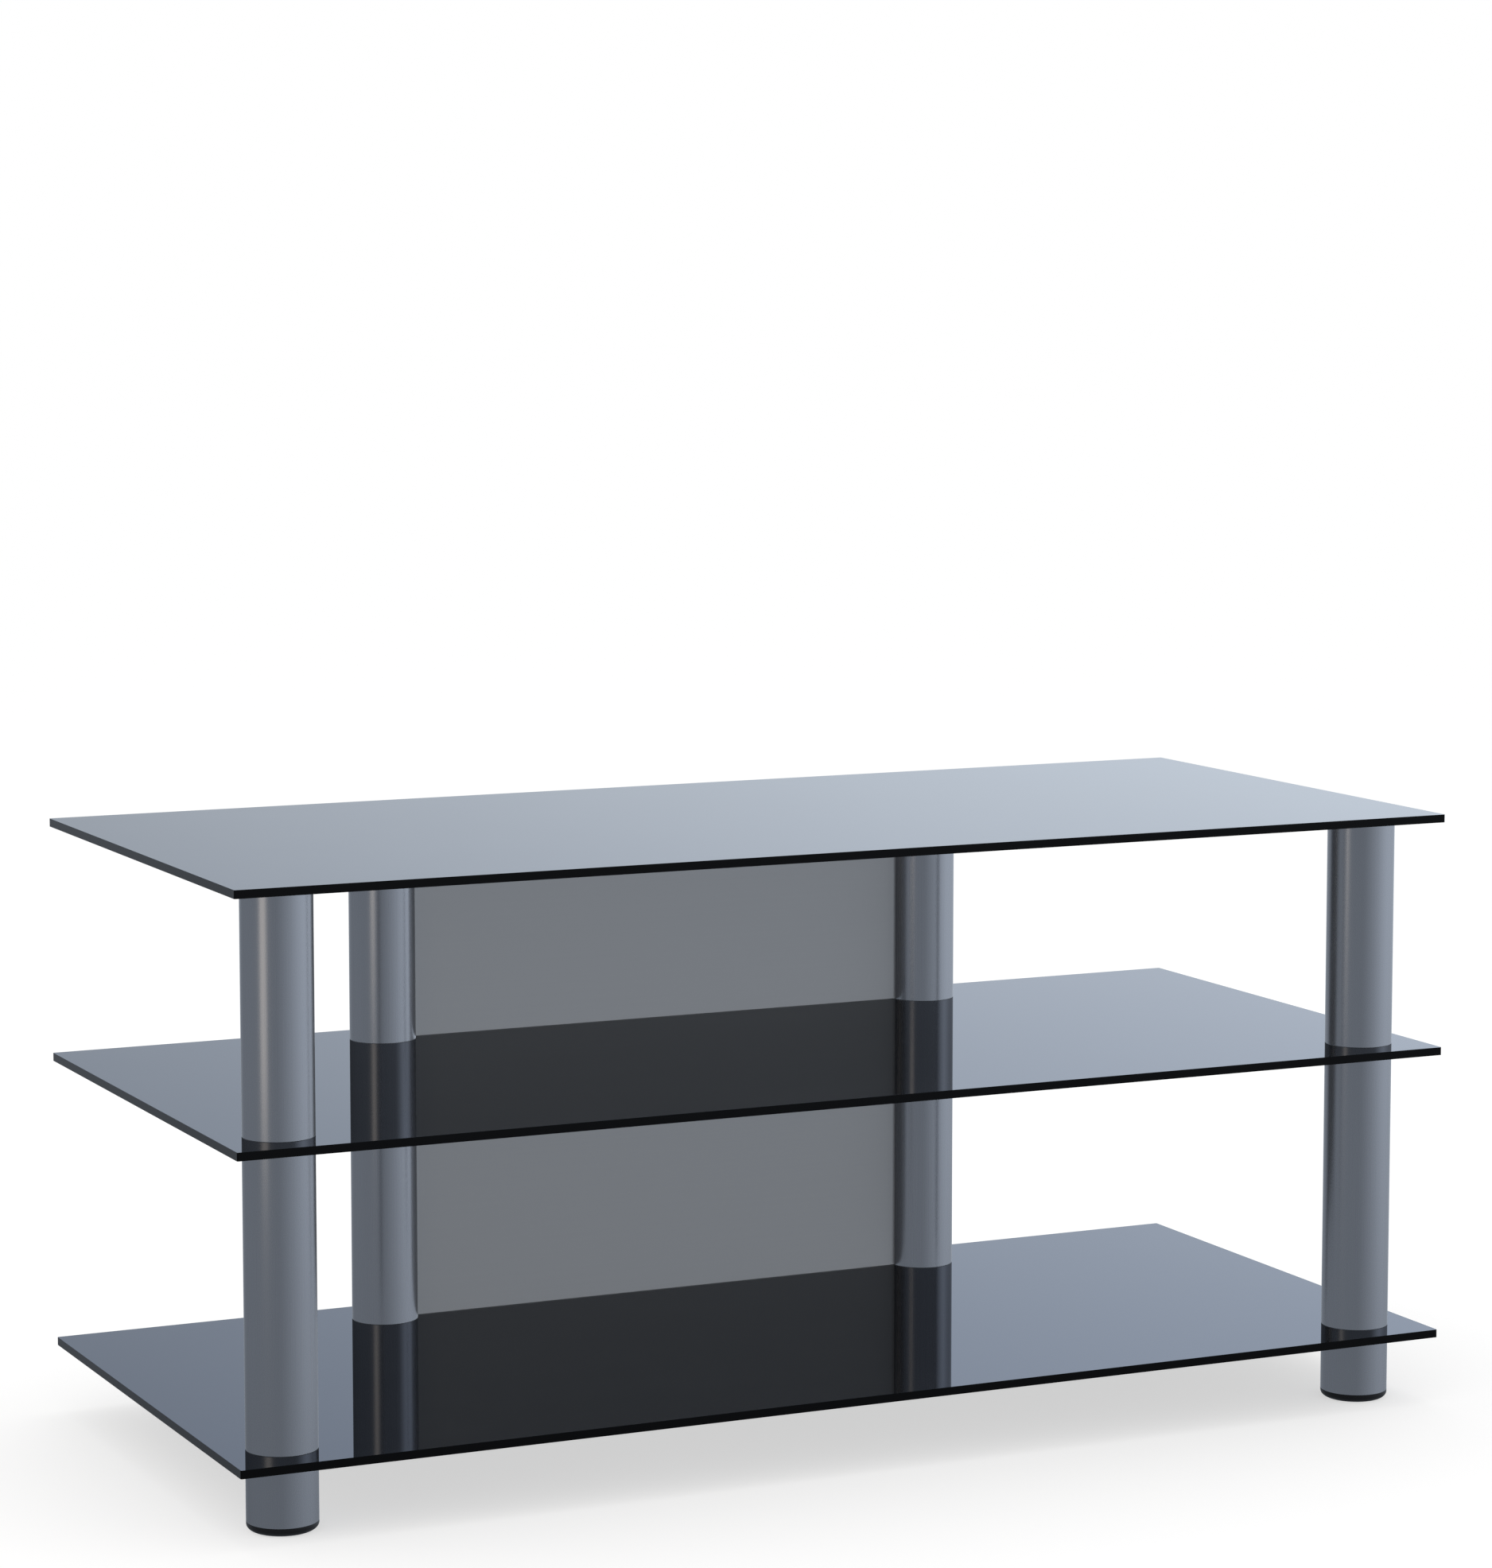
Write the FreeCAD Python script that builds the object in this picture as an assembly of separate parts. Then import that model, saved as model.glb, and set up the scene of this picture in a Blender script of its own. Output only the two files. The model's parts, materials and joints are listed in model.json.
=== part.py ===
"""Glass TV stand: three black glass shelves clamped between round aluminium column tubes.

The front columns stand at the corners. The rear columns stand closer together and are slotted,
so that a grey panel slides in between them in each compartment. Every column is a stack of three
tubes with a moulded insert in each end. Threaded studs pass through the lower two shelves and pull
the stack together, discs bonded under the top shelf hold the upper tubes, and a levelling screw
with a round pad ends each column on the floor.

Millimetres. +X is to the right seen from the front, +Y to the back, +Z up. The origin is on the
floor under the middle of the shelves.
"""

import FreeCAD, Part
import math
import os

# Driving dimensions of the shelves
SHELF_WIDTH = 950.0
SHELF_DEPTH = 420.0
GLASS = 6.0
GLASS_ARRIS = 0.5
GLASS_CORNER = 1.0

# Driving dimensions of the columns
TUBE_DIAMETER = 50.0
TUBE_WALL = 2.0
TUBE_EDGE_BREAK = 0.15
FRONT_SIDE_INSET = 45.0
REAR_SIDE_INSET = 245.0
EDGE_INSET = 45.0

# Clear heights, from the pad's top to the glass and from glass to glass
FOOT_GAP = 44.0
LOWER_GAP = 210.0
UPPER_GAP = 170.0

# Soft washers inside the tube ends, and the hair gap from the glass to the tubes and panel heads
GASKET = 0.5
GASKET_DIAMETER = 44.0
HAIR_GAP = 0.1

# Threads, holes and the play that lets one piece into another
STUD_DIAMETER = 8.0
STUD_GRIP = 14.0
STUD_KEY_FLATS = 4.0
STUD_KEY_DEPTH = 4.0
GLASS_HOLE = 12.0
FIT_PLAY = 0.05
LOOSE_PLAY = 0.2

# Moulded tube insert
INSERT_LENGTH = 18.0
INSERT_PLATE = 4.0
INSERT_RIM = 3.0
INSERT_HUB = 20.0
INSERT_RIBS = 6
INSERT_RIB_THICKNESS = 2.5

# Disc bonded under the top shelf
DISC_DIAMETER = 44.0
DISC_THICKNESS = 5.0

# Levelling foot
PAD_HEIGHT = 6.5
PAD_BAND = 1.5
PAD_RIM_INSET = 7.0
SOCKET_FLOOR = 2.2
SOCKET_HEIGHT = 3.0
SOCKET_MOUTH = 11.5
SCREW_DIAMETER = 10.0
SCREW_HEAD_DIAMETER = 14.0
SCREW_TOP = 31.0
COLLAR_FLATS = 15.0
COLLAR_HEIGHT = 4.0
COLLAR_POCKET = 18.5
COLLAR_POCKET_DEPTH = 4.5
FOOT_INSERT_RECESS = 0.5
END_CHAMFER = 1.0

# Rear panel
PANEL_THICKNESS = 5.0
PANEL_SLOT_PLAY = 0.2
PANEL_TONGUE = 8.0
PANEL_WALL_ENTRY = 0.9
PANEL_EDGE_BREAK = 0.5
TONGUE_CLEARANCE = 2.0

# How far a cutting tool runs past the faces it cuts, and the tolerance for comparing lengths
OVERRUN = 1.0
TINY = 1e-6

# Heights worked out from the floor up
BOTTOM_UNDER = PAD_HEIGHT + FOOT_GAP
BOTTOM_TOP = BOTTOM_UNDER + GLASS
MIDDLE_UNDER = BOTTOM_TOP + LOWER_GAP
MIDDLE_TOP = MIDDLE_UNDER + GLASS
TOP_UNDER = MIDDLE_TOP + UPPER_GAP

TUBE_RADIUS = TUBE_DIAMETER / 2
BORE_RADIUS = TUBE_RADIUS - TUBE_WALL
INSERT_RADIUS = BORE_RADIUS - FIT_PLAY

FRONT_X = SHELF_WIDTH / 2 - FRONT_SIDE_INSET
REAR_X = SHELF_WIDTH / 2 - REAR_SIDE_INSET
COLUMN_Y = SHELF_DEPTH / 2 - EDGE_INSET

# Name, place and, for a slotted column, the side that its slot faces
COLUMNS = [
    ("front_left", -FRONT_X, -COLUMN_Y, 0),
    ("front_right", FRONT_X, -COLUMN_Y, 0),
    ("rear_left", -REAR_X, COLUMN_Y, 1),
    ("rear_right", REAR_X, COLUMN_Y, -1),
]

# Bottom and top end of each tube in a column
TUBE_ENDS = {
    "foot": (PAD_HEIGHT, BOTTOM_UNDER - HAIR_GAP),
    "lower": (BOTTOM_TOP + HAIR_GAP, MIDDLE_UNDER - HAIR_GAP),
    "upper": (MIDDLE_TOP + HAIR_GAP, TOP_UNDER - HAIR_GAP),
}


def vector(x, y, z):
    return FreeCAD.Vector(x, y, z)


def cylinder(radius, bottom, top, x=0.0, y=0.0):
    return Part.makeCylinder(radius, top - bottom, vector(x, y, bottom))


def box(low, high):
    size = [b - a for a, b in zip(low, high)]
    return Part.makeBox(*size, vector(*low))


def hexagon(flats, bottom, top):
    corner = flats / math.sqrt(3)
    points = [
        vector(corner * math.cos(a), corner * math.sin(a), bottom)
        for a in (math.radians(60 * i) for i in range(7))
    ]
    return Part.Face(Part.makePolygon(points)).extrude(vector(0, 0, top - bottom))


def edges_where(shape, test):
    """The edges of a shape that pass a test."""
    return [e for e in shape.Edges if test(e)]


def ring_edges(shape, radius, heights):
    """The round edges of one radius at given heights, about the shape's own vertical axis."""
    return edges_where(
        shape,
        lambda e: hasattr(e.Curve, "Radius")
        and abs(e.Curve.Radius - radius) < TINY
        and any(abs(e.BoundBox.ZMin - z) < TINY and e.BoundBox.ZLength < TINY for z in heights),
    )


def placed(shape, x, y, z=0.0):
    moved = shape.copy()
    moved.translate(vector(x, y, z))
    return moved


def shelf(under, holes):
    """A pane with dubbed corners and ground arrises, drilled where the studs pass."""
    half_w, half_d = SHELF_WIDTH / 2, SHELF_DEPTH / 2
    pane = box((-half_w, -half_d, under), (half_w, half_d, under + GLASS))
    upright = edges_where(pane, lambda e: abs(e.BoundBox.ZLength - GLASS) < TINY)
    pane = pane.makeFillet(GLASS_CORNER, upright)
    rims = edges_where(pane, lambda e: e.BoundBox.ZLength < TINY)
    pane = pane.makeChamfer(GLASS_ARRIS, rims)
    if holes:
        drills = [
            cylinder(GLASS_HOLE / 2, under - OVERRUN, under + GLASS + OVERRUN, x, y)
            for _, x, y, _ in COLUMNS
        ]
        pane = pane.cut(drills)
    return pane.Solids[0]


def tube(bottom, top, slot_side):
    """A column tube with its end edges broken. A slot faces along X where slot_side is not 0."""
    outer = cylinder(TUBE_RADIUS, bottom, top)
    outer = outer.makeChamfer(TUBE_EDGE_BREAK, ring_edges(outer, TUBE_RADIUS, (bottom, top)))
    walls = outer.cut(cylinder(BORE_RADIUS, bottom - OVERRUN, top + OVERRUN))
    if slot_side:
        half_slot = PANEL_THICKNESS / 2 + PANEL_SLOT_PLAY
        low_x, high_x = sorted((0.0, slot_side * (TUBE_RADIUS + OVERRUN)))
        low = (low_x, -half_slot, bottom - OVERRUN)
        high = (high_x, half_slot, top + OVERRUN)
        walls = walls.cut(box(low, high))
    return walls.Solids[0]


def tube_insert(hole_diameter, plate_up):
    """A ribbed moulding that fills a tube's end: a plate at that end, a hub, a rim and ribs.

    It stands on Z 0, with its plate on top if plate_up and otherwise at the bottom.
    """
    hub_radius = INSERT_HUB / 2
    rim_inside = INSERT_RADIUS - INSERT_RIM
    rim = cylinder(INSERT_RADIUS, 0, INSERT_LENGTH)
    rim = rim.cut(cylinder(rim_inside, -OVERRUN, INSERT_LENGTH + OVERRUN))
    hub = cylinder(hub_radius, 0, INSERT_LENGTH)
    plate_z = INSERT_LENGTH - INSERT_PLATE if plate_up else 0.0
    plate = cylinder(INSERT_RADIUS, plate_z, plate_z + INSERT_PLATE)
    half_rib = INSERT_RIB_THICKNESS / 2
    low = (hub_radius - OVERRUN, -half_rib, 0)
    high = (rim_inside + OVERRUN, half_rib, INSERT_LENGTH)
    rib = box(low, high)
    ribs = []
    for i in range(INSERT_RIBS):
        turned = rib.copy()
        turned.rotate(vector(0, 0, 0), vector(0, 0, 1), 360 / INSERT_RIBS * (i + 0.5))
        ribs.append(turned)
    body = rim.fuse([hub, plate] + ribs).removeSplitter()
    hole = cylinder(hole_diameter / 2, -OVERRUN, INSERT_LENGTH + OVERRUN)
    return body.cut(hole).Solids[0]


def foot_insert():
    """The insert in a column's lowest end, with the levelling screw's hole and a collar pocket."""
    body = tube_insert(SCREW_DIAMETER, plate_up=False)
    return body.cut(cylinder(COLLAR_POCKET / 2, -OVERRUN, COLLAR_POCKET_DEPTH)).Solids[0]


def joining_stud(under):
    """A double-ended stud through a shelf, with a hexagon socket in its lower end to drive it."""
    bottom = under - GASKET - STUD_GRIP
    top = under + GLASS + GASKET + STUD_GRIP
    radius = STUD_DIAMETER / 2 - FIT_PLAY
    rod = cylinder(radius, bottom, top)
    rod = rod.makeChamfer(END_CHAMFER, ring_edges(rod, radius, (bottom, top)))
    key = hexagon(STUD_KEY_FLATS, bottom - OVERRUN, bottom + STUD_KEY_DEPTH)
    return rod.cut(key).Solids[0]


def bonded_disc():
    """A steel disc glued under the top shelf, with the stud that the upper tube screws onto."""
    under = TOP_UNDER - DISC_THICKNESS
    tip = under - STUD_GRIP
    radius = STUD_DIAMETER / 2 - FIT_PLAY
    stud = cylinder(radius, tip, under + OVERRUN)
    stud = stud.makeChamfer(END_CHAMFER, ring_edges(stud, radius, (tip,)))
    disc = cylinder(DISC_DIAMETER / 2, under, TOP_UNDER)
    disc = disc.makeChamfer(END_CHAMFER, ring_edges(disc, DISC_DIAMETER / 2, (under,)))
    return disc.fuse(stud).removeSplitter().Solids[0]


def gasket(bottom):
    top = bottom + GASKET
    hole = cylinder(STUD_DIAMETER / 2 + LOOSE_PLAY, bottom - OVERRUN, top + OVERRUN)
    return cylinder(GASKET_DIAMETER / 2, bottom, top).cut(hole).Solids[0]


def hole_bush(under):
    """A sleeve that keeps a stud off the edge of the hole in the glass."""
    top = under + GLASS
    hole = cylinder(STUD_DIAMETER / 2 + LOOSE_PLAY, under - OVERRUN, top + OVERRUN)
    return cylinder(GLASS_HOLE / 2 - LOOSE_PLAY / 2, under, top).cut(hole).Solids[0]


def foot_pad():
    """A round pad with an elliptical rim and a snap socket for the head of the levelling screw."""
    flat_radius = TUBE_RADIUS - PAD_RIM_INSET
    rim_height = PAD_HEIGHT - PAD_BAND
    rim = Part.Ellipse(vector(0, 0, 0), PAD_RIM_INSET, rim_height)
    rim.rotate(FreeCAD.Placement(vector(0, 0, 0), FreeCAD.Rotation(vector(1, 0, 0), 90)))
    rim.translate(vector(flat_radius, 0, rim_height))
    quarter = Part.Arc(rim, 1.5 * math.pi, 2 * math.pi).toShape()
    straight = Part.makePolygon(
        [
            vector(TUBE_RADIUS, 0, rim_height),
            vector(TUBE_RADIUS, 0, PAD_HEIGHT),
            vector(0, 0, PAD_HEIGHT),
            vector(0, 0, 0),
            vector(flat_radius, 0, 0),
        ]
    )
    outline = Part.Wire(Part.__sortEdges__([quarter] + straight.Edges))
    solid = Part.Face(outline).revolve(vector(0, 0, 0), vector(0, 0, 1), 360)
    socket_radius = SCREW_HEAD_DIAMETER / 2 + LOOSE_PLAY
    socket = cylinder(socket_radius, SOCKET_FLOOR, SOCKET_FLOOR + SOCKET_HEIGHT)
    mouth = cylinder(SOCKET_MOUTH / 2, SOCKET_FLOOR, PAD_HEIGHT + OVERRUN)
    return solid.cut([socket, mouth]).Solids[0]


def levelling_screw():
    """A screw with a snap head, a neck, a hexagon collar for a spanner and a plain thread envelope."""
    radius = SCREW_DIAMETER / 2 - FIT_PLAY
    head_bottom = SOCKET_FLOOR + FIT_PLAY
    head_top = SOCKET_FLOOR + SOCKET_HEIGHT - LOOSE_PLAY
    collar_bottom = PAD_HEIGHT + LOOSE_PLAY
    head = cylinder(SCREW_HEAD_DIAMETER / 2, head_bottom, head_top)
    collar = hexagon(COLLAR_FLATS, collar_bottom, collar_bottom + COLLAR_HEIGHT)
    shank = cylinder(radius, head_bottom, SCREW_TOP)
    shank = shank.makeChamfer(END_CHAMFER, ring_edges(shank, radius, (SCREW_TOP,)))
    return shank.fuse([head, collar]).removeSplitter().Solids[0]


def rear_panel(bottom, top):
    """A plate between the slotted columns, with a tongue on each side that enters the tube."""
    half = PANEL_THICKNESS / 2
    plate_x = REAR_X - TUBE_RADIUS + PANEL_WALL_ENTRY
    tongue_x = REAR_X - TUBE_RADIUS + PANEL_TONGUE
    plate = box((-plate_x, COLUMN_Y - half, bottom), (plate_x, COLUMN_Y + half, top))
    long_edges = edges_where(plate, lambda e: abs(e.BoundBox.XLength - 2 * plate_x) < TINY)
    plate = plate.makeChamfer(PANEL_EDGE_BREAK, long_edges)
    clear_of_inserts = GASKET + INSERT_LENGTH + DISC_THICKNESS + TONGUE_CLEARANCE
    low = (-tongue_x, COLUMN_Y - half, bottom + clear_of_inserts)
    high = (tongue_x, COLUMN_Y + half, top - clear_of_inserts)
    return plate.fuse(box(low, high)).removeSplitter().Solids[0]


def column_parts(name, x, y, slot_side):
    """Every piece of one column, by node name."""
    parts = {}
    for tube_name, (bottom, top) in TUBE_ENDS.items():
        tube_slot = 0 if tube_name == "foot" else slot_side
        parts[f"{name}_{tube_name}_tube"] = placed(tube(bottom, top, tube_slot), x, y)
    plate_on_top = tube_insert(STUD_DIAMETER, plate_up=True)
    plate_below = tube_insert(STUD_DIAMETER, plate_up=False)
    inserts = [
        placed(plate_on_top, x, y, BOTTOM_UNDER - GASKET - INSERT_LENGTH),
        placed(plate_below, x, y, BOTTOM_TOP + GASKET),
        placed(plate_on_top, x, y, MIDDLE_UNDER - GASKET - INSERT_LENGTH),
        placed(plate_below, x, y, MIDDLE_TOP + GASKET),
        placed(plate_on_top, x, y, TOP_UNDER - DISC_THICKNESS - INSERT_LENGTH),
    ]
    parts[f"{name}_tube_inserts"] = Part.makeCompound(inserts)
    parts[f"{name}_foot_insert"] = placed(foot_insert(), x, y, PAD_HEIGHT + FOOT_INSERT_RECESS)
    studs = [placed(joining_stud(under), x, y) for under in (BOTTOM_UNDER, MIDDLE_UNDER)]
    parts[f"{name}_joining_studs"] = Part.makeCompound(studs)
    parts[f"{name}_bonded_disc"] = placed(bonded_disc(), x, y)
    parts[f"{name}_foot_pad"] = placed(foot_pad(), x, y)
    parts[f"{name}_levelling_screw"] = placed(levelling_screw(), x, y)
    return parts


def shelf_parts():
    """The panes, and the gaskets and bushes of the two that the studs pass through."""
    parts = {"top_shelf": shelf(TOP_UNDER, holes=False)}
    for name, under in (("bottom", BOTTOM_UNDER), ("middle", MIDDLE_UNDER)):
        parts[f"{name}_shelf"] = shelf(under, holes=True)
        gaskets = [
            placed(gasket(z), x, y)
            for _, x, y, _ in COLUMNS
            for z in (under - GASKET, under + GLASS)
        ]
        parts[f"{name}_shelf_gaskets"] = Part.makeCompound(gaskets)
        bushes = [placed(hole_bush(under), x, y) for _, x, y, _ in COLUMNS]
        parts[f"{name}_shelf_bushes"] = Part.makeCompound(bushes)
    return parts


def main():
    os.makedirs("parts", exist_ok=True)
    parts = shelf_parts()
    for column in COLUMNS:
        parts.update(column_parts(*column))
    parts["lower_rear_panel"] = rear_panel(BOTTOM_TOP, MIDDLE_UNDER - HAIR_GAP)
    parts["upper_rear_panel"] = rear_panel(MIDDLE_TOP, TOP_UNDER - HAIR_GAP)
    for name, shape in parts.items():
        for solid in shape.Solids:
            if not solid.isValid() or solid.Volume <= 0:
                raise ValueError(f"{name} is not a sound solid")
        shape.exportStep(f"parts/{name}.step")
    print(f"{len(parts)} nodes, {sum(len(s.Solids) for s in parts.values())} solids")


main()
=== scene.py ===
"""A low media stand: three black glass shelves on round aluminium columns, with a metal back.

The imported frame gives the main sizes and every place. Each operator models or finishes one group
of pieces around it, and the last one sets the studio.
"""

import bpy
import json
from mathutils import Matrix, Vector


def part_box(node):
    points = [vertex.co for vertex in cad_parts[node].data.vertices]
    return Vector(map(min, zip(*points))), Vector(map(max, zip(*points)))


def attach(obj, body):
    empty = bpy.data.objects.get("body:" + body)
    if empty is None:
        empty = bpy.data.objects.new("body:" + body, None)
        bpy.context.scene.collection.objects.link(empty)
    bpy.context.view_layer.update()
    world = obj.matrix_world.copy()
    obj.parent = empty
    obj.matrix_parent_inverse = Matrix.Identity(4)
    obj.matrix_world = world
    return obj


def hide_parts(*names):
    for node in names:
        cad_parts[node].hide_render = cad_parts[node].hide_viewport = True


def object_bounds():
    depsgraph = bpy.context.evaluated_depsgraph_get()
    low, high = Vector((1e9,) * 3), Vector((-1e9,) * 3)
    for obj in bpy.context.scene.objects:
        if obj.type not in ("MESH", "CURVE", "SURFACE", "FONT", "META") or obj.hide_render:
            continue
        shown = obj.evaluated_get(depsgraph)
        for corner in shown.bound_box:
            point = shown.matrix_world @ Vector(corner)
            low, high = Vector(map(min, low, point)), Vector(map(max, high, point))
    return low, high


bl_info = {
    "name": "Glass Shelf Stand",
    "version": (1, 0, 0),
    "blender": (4, 5, 0),
    "location": "View3D > Sidebar > Glass Stand",
    "description": "Models and finishes a black glass stand on aluminium columns around its frame",
    "category": "Object",
}

import json
import math

import bmesh
import bpy
from bpy.props import FloatProperty, FloatVectorProperty, IntProperty, PointerProperty
from bpy.types import Operator, Panel, PropertyGroup
from mathutils import Euler, Matrix, Vector

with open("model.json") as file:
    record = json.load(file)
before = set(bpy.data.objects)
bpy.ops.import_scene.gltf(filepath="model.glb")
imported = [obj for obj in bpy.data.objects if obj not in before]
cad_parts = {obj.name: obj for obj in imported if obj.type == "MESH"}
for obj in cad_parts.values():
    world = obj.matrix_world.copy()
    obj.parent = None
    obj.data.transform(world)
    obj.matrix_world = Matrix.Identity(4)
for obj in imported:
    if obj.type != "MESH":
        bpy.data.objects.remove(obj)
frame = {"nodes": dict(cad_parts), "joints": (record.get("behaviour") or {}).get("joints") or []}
CAD_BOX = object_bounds()

# Units and tolerances
UP = Vector((0.0, 0.0, 1.0))
MILLIMETRE = 0.001
WELD = 1e-6
SMOOTH_ANGLE = math.radians(12.0)

# Facts read from the frame
TURN_SUFFIX = "_screw_turn"
TRAVEL_SUFFIX = "_foot_travel"
JOINTS = {joint["name"]: joint for joint in frame["joints"]}
COLUMN_AXES = {
    name.removesuffix(TURN_SUFFIX): Vector((joint["pos_m"][0], joint["pos_m"][1], 0.0))
    for name, joint in JOINTS.items()
    if name.endswith(TURN_SUFFIX)
}
FIRST_COLUMN = next(iter(COLUMN_AXES))
FULL_TURNS = JOINTS[FIRST_COLUMN + TURN_SUFFIX]["range_deg"][1] / 360.0
SCREW_PITCH = JOINTS[FIRST_COLUMN + TRAVEL_SUFFIX]["range_m"][1] / FULL_TURNS
TUBE_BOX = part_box(FIRST_COLUMN + "_upper_tube")
TUBE_RADIUS = (TUBE_BOX[1].x - TUBE_BOX[0].x) / 2

# Words in the names of the frame's shelves, tubes and panels
DRILLED_LEVELS = ("bottom", "middle")
LEVELS = (*DRILLED_LEVELS, "top")
PANEL_TIERS = ("lower", "upper")
TUBE_TIERS = ("foot", *PANEL_TIERS)

# Material slots of a shelf, and how upright at least the normal of its flat faces is
SHELF_FACE = 0
SHELF_EDGE = 1
FLAT_NORMAL = 0.99

# Counts and angles of the small forms
CORNER_STEPS = 4
EDGE_STEPS = 3
COLLAR_EDGE_STEPS = 2
COLLAR_SIDES = 6
RIM_ANGLE = math.radians(60.0)
CREST_SHARE = 1 / 8


# Sizes and colours that a user would change

def length(name, description, default):
    """A length property, in metres."""
    return FloatProperty(name=name, description=description, default=default, unit="LENGTH", precision=5)


def share(name, description, default):
    """A property from 0 to 1."""
    return FloatProperty(
        name=name, description=description, default=default, min=0.0, max=1.0, subtype="FACTOR"
    )


def colour(name, description, default):
    """A linear colour property."""
    return FloatVectorProperty(
        name=name, description=description, default=default, size=3, min=0.0, max=4.0, subtype="COLOR"
    )


def power(name, description, default):
    """A lamp's power, in watts."""
    return FloatProperty(name=name, description=description, default=default, min=0.0, unit="POWER")


class StandShape(PropertyGroup):
    """Sizes of the small forms that the frame's boxes don't give."""

    shelf_arris: length("Shelf arris", "Width of the ground edge round each shelf", 0.12 * MILLIMETRE)
    shelf_corner: length("Shelf corner", "Radius of each shelf's corners in plan", 1.0 * MILLIMETRE)
    stud_hole: length("Stud hole", "Diameter of the holes through the lower shelves", 12.0 * MILLIMETRE)
    tube_wall: length("Tube wall", "Wall thickness of the columns", 2.0 * MILLIMETRE)
    tube_edge: length("Tube edge", "Radius of the broken edges at the tube ends", 0.15 * MILLIMETRE)
    slot_width: length("Panel slot", "Width of the slots in the rear columns", 5.4 * MILLIMETRE)
    panel_entry: length("Panel entry", "How far the panel enters the tube wall", 0.9 * MILLIMETRE)
    panel_edge: length("Panel edge", "Radius of the panel's eased long edges", 0.5 * MILLIMETRE)
    tongue_setback: length("Tongue setback", "From the panel's foot or head to a tongue", 25.5 * MILLIMETRE)
    pad_rim: length("Pad rim", "How far the pad's rim curves inwards", 7.0 * MILLIMETRE)
    pad_band: length("Pad band", "Height of the pad's straight band", 1.5 * MILLIMETRE)
    pad_edge: length("Pad edge", "Width of the chamfer at the pad's upper edge", 0.2 * MILLIMETRE)
    socket_floor: length("Socket floor", "Height of the floor of the pad's socket", 2.2 * MILLIMETRE)
    socket_height: length("Socket height", "Clear height of the pad's socket", 3.0 * MILLIMETRE)
    socket_width: length("Socket width", "Diameter of the pad's socket", 14.4 * MILLIMETRE)
    socket_mouth: length("Socket mouth", "Diameter of the socket's mouth", 11.5 * MILLIMETRE)
    head_width: length("Screw head", "Diameter of the levelling screw's head", 14.0 * MILLIMETRE)
    head_height: length("Screw head height", "Height of the levelling screw's head", 2.75 * MILLIMETRE)
    collar_flats: length("Collar flats", "Width across the flats of the collar", 15.0 * MILLIMETRE)
    collar_height: length("Collar height", "Height of the spanner collar", 4.0 * MILLIMETRE)
    collar_gap: length("Collar gap", "From the pad's top to the collar", 0.2 * MILLIMETRE)
    thread_width: length("Thread width", "Outer diameter of the screw thread", 9.9 * MILLIMETRE)
    thread_depth: length("Thread depth", "Depth of the screw thread", 0.9 * MILLIMETRE)
    steel_edge: length("Steel edge", "Width of the chamfers on the screws", 0.4 * MILLIMETRE)
    round_steps: IntProperty(
        name="Round steps", description="Facets round a column tube or pad", default=144, min=24, max=256
    )
    thread_steps: IntProperty(
        name="Thread steps", description="Facets round a turn of the thread, a screw head or a stud hole",
        default=36, min=12, max=72,
    )
    rim_steps: IntProperty(
        name="Rim steps", description="Facets across the curve of the pad's rim",
        default=12, min=4, max=32,
    )


class StandFinish(PropertyGroup):
    """Colours and gloss of the materials."""

    glass: colour("Glass", "Body colour of the black glass", (0.0035, 0.0038, 0.0045))
    glass_dust: colour("Glass dust", "Colour of the faint film on the glass", (0.0075, 0.0080, 0.0090))
    glass_edge: colour("Glass edge", "Colour of the ground edges", (0.0022, 0.0023, 0.0027))
    tube: colour("Tube", "Colour of the anodised columns", (0.262, 0.266, 0.281))
    tube_roughness: share("Tube roughness", "Roughness of the anodised columns", 0.27)
    panel: colour("Panel", "Colour of the rear panels", (0.365, 0.360, 0.355))
    panel_roughness: share("Panel roughness", "Roughness of the rear panels", 0.25)
    foot: colour("Foot", "Colour of the moulded pads", (0.005, 0.005, 0.0055))
    insert: colour("Insert", "Colour of the moulded tube inserts", (0.05, 0.05, 0.052))
    steel: colour("Steel", "Colour of the plated steel", (0.60, 0.60, 0.59))
    rubber: colour("Rubber", "Colour of the soft washers", (0.070, 0.072, 0.076))


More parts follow.
